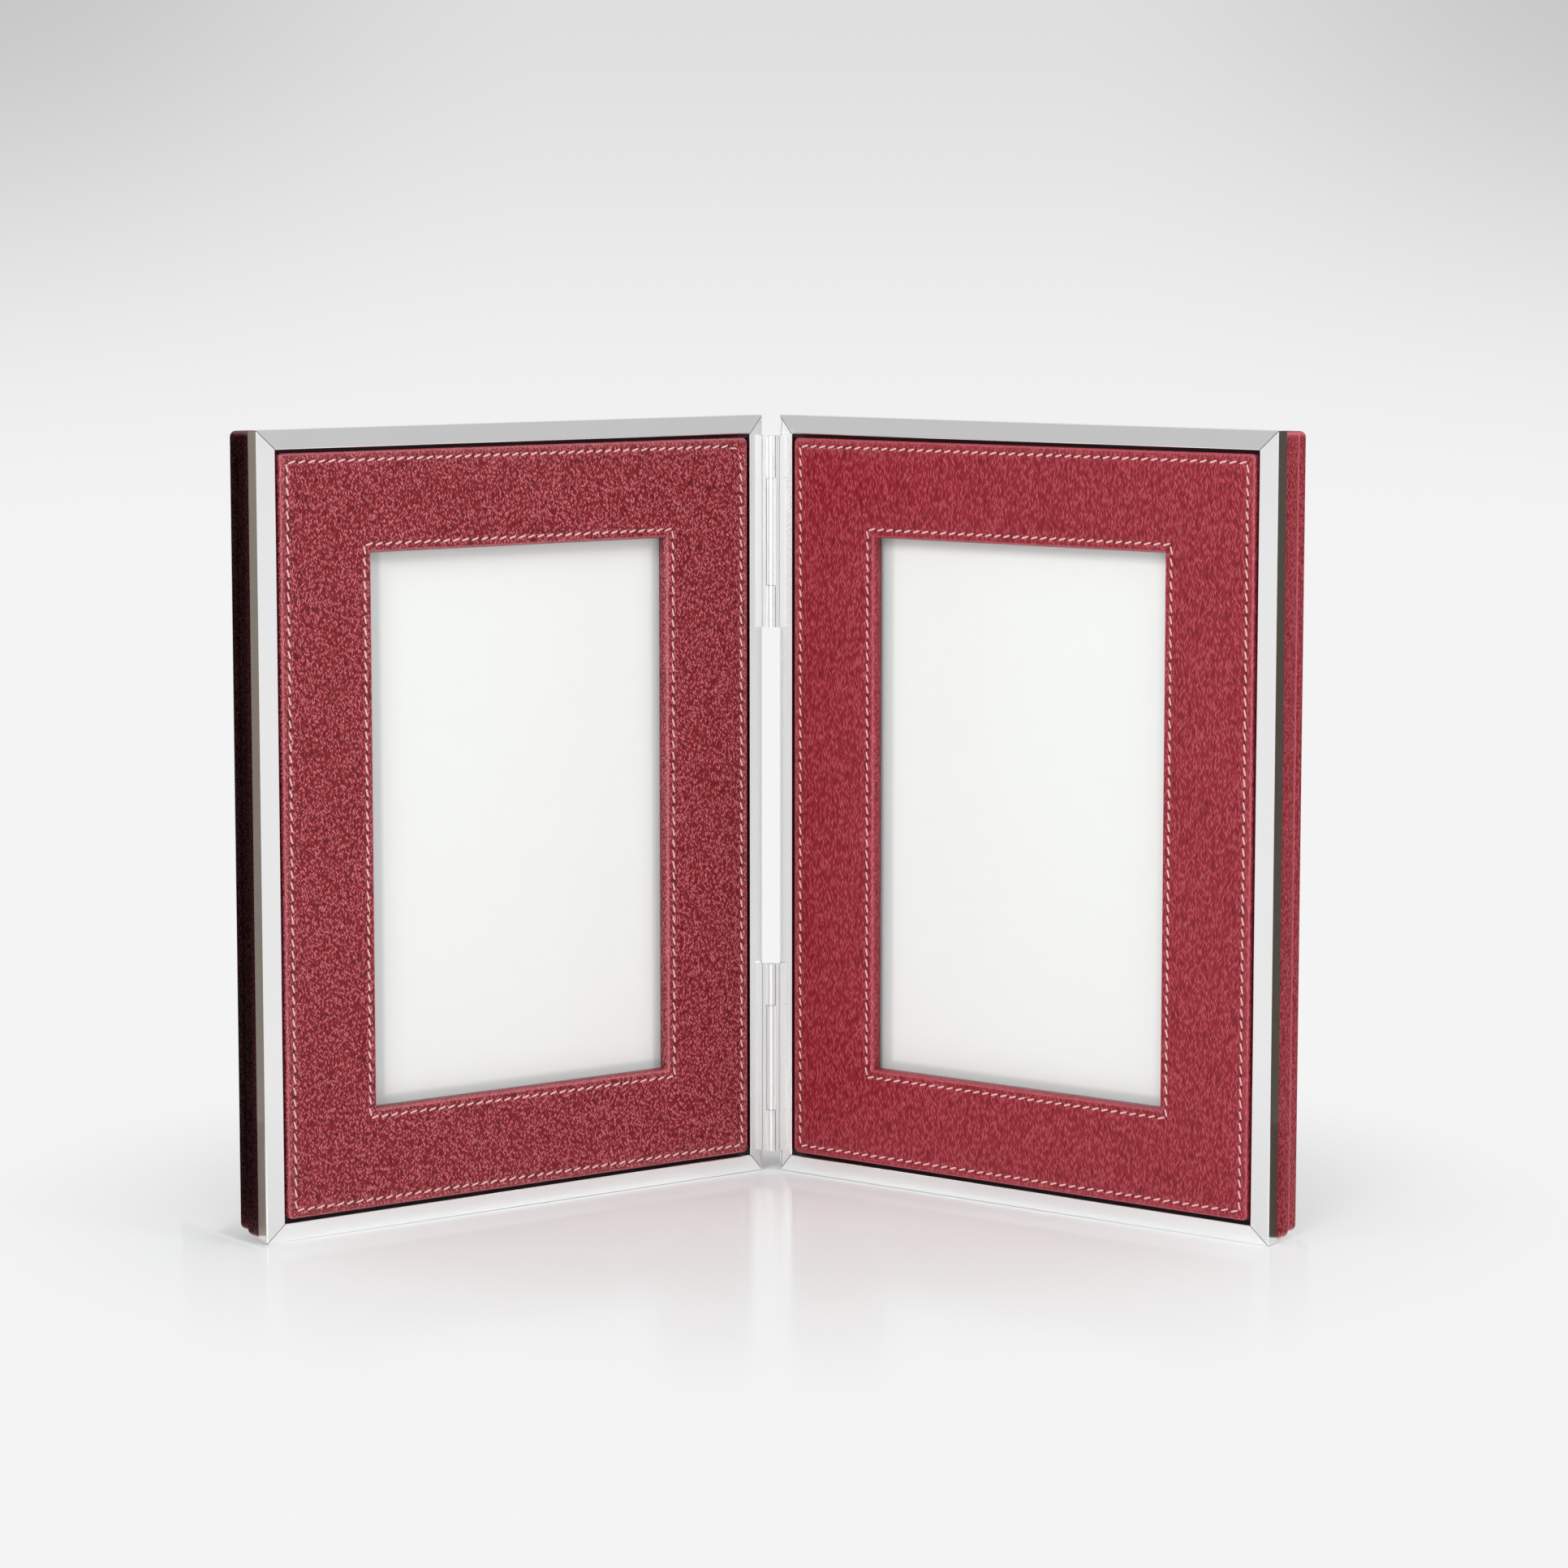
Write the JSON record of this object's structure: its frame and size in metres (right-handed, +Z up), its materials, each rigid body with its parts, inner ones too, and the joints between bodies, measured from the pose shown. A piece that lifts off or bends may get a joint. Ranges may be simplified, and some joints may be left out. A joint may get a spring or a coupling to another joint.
{
  "type": "double photo frame",
  "caption": "Hinged pair of portrait photo frames that stands open like a book: leather mats in polished mitred metal rails, with leather backs.",
  "frame": {"origin": "under the middle of the standing frame's box, on the table", "axes": "+X to the right seen from the front, +Y towards the back, +Z up"},
  "size_m": [0.2748, 0.1082, 0.21],
  "materials": {
    "silver_plate": "polished silver plate",
    "steel": "plain steel, nickelled on the magnets",
    "leather": "grained red cowhide",
    "board": "dense grey board",
    "core_wood": "black stain",
    "paper": "matt off-white paper",
    "glass": "clear float glass"
  },
  "bodies": {
    "left_leaf": {"left_top_rail": "silver_plate", "left_bottom_rail": "silver_plate", "left_outer_rail": "silver_plate", "left_hinge_rail": "silver_plate", "left_corner_keys": "steel", "left_mat_board": "board", "left_mat_leather": "leather", "left_glass": "glass", "left_print": "paper", "left_backing_board": "board", "left_core": "core_wood", "left_band_leather": "leather", "left_core_magnets": "steel", "left_hinge_screws": "silver_plate", "upper_hinge_left_flap": "silver_plate", "upper_hinge_pin": "silver_plate", "lower_hinge_left_flap": "silver_plate", "lower_hinge_pin": "silver_plate"},
    "right_leaf": {"right_top_rail": "silver_plate", "right_bottom_rail": "silver_plate", "right_outer_rail": "silver_plate", "right_hinge_rail": "silver_plate", "right_corner_keys": "steel", "right_mat_board": "board", "right_mat_leather": "leather", "right_glass": "glass", "right_print": "paper", "right_backing_board": "board", "right_core": "core_wood", "right_band_leather": "leather", "right_core_magnets": "steel", "right_hinge_screws": "silver_plate", "upper_hinge_right_flap": "silver_plate", "lower_hinge_right_flap": "silver_plate"},
    "left_back_panel": {"left_plug_board": "board", "left_panel_board": "board", "left_panel_leather": "leather", "left_panel_magnets": "steel"},
    "right_back_panel": {"right_plug_board": "board", "right_panel_board": "board", "right_panel_leather": "leather", "right_panel_magnets": "steel"}
  },
  "joints": [
    {"name": "book_hinge", "type": "hinge", "parent": "left_leaf", "child": "right_leaf", "pos_m": [0, 0.04273, 0], "axis": [0, 0, 1], "range_deg": [-105, 80]},
    {"name": "left_panel_lift_off", "type": "slide", "parent": "left_leaf", "child": "left_back_panel", "axis": [-0.6088, 0.7934, 0], "range_m": [0, 0.03]},
    {"name": "right_panel_lift_off", "type": "slide", "parent": "right_leaf", "child": "right_back_panel", "axis": [0.6088, 0.7934, 0], "range_m": [0, 0.03]}
  ]
}
